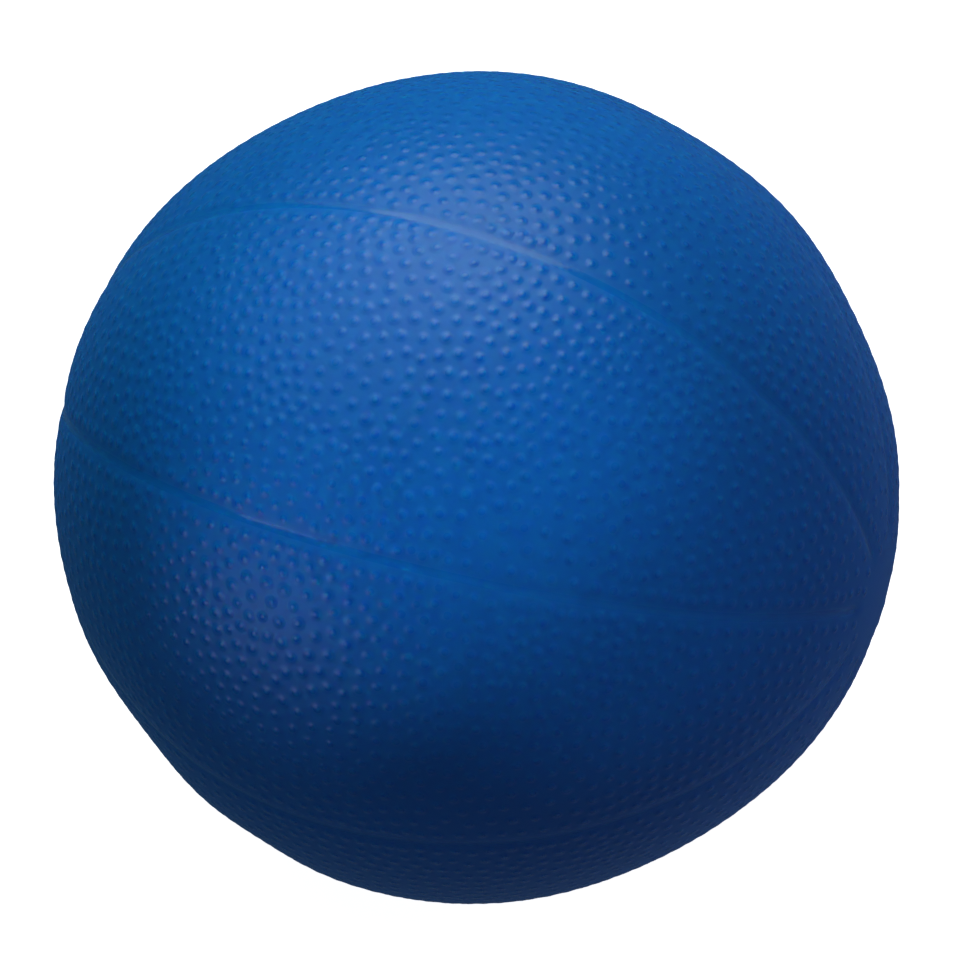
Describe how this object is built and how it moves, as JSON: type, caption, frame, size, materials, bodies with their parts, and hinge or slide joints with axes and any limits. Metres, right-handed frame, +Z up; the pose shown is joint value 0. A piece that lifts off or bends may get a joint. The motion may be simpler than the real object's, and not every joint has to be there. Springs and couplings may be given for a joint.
{
  "type": "soft play ball",
  "caption": "Soft air-filled play ball of pebbled vinyl, its panels parted by grooves from pole to pole, with a flat patch to rest on and a push-in plug in its air valve.",
  "frame": {"origin": "middle of the flat patch on which the ball rests", "axes": "+X along the ball's axis from the valve pole to the plain pole, +Z up from the floor"},
  "size_m": [0.223, 0.2194, 0.2185],
  "materials": {
    "skin_vinyl": "soft blue vinyl, satin, pebbled on the panels and smooth in the grooves",
    "seat_vinyl": "firmer blue vinyl, satin",
    "plug_plastic": "natural white polyethylene, satin"
  },
  "bodies": {
    "ball": {"ball_skin": "skin_vinyl", "valve_seat": "seat_vinyl"},
    "plug": {"valve_plug": "plug_plastic"}
  },
  "joints": [
    {"name": "plug_pull", "type": "slide", "parent": "ball", "child": "plug", "axis": [-1, 0, 0], "range_m": [0, 0.024]}
  ]
}
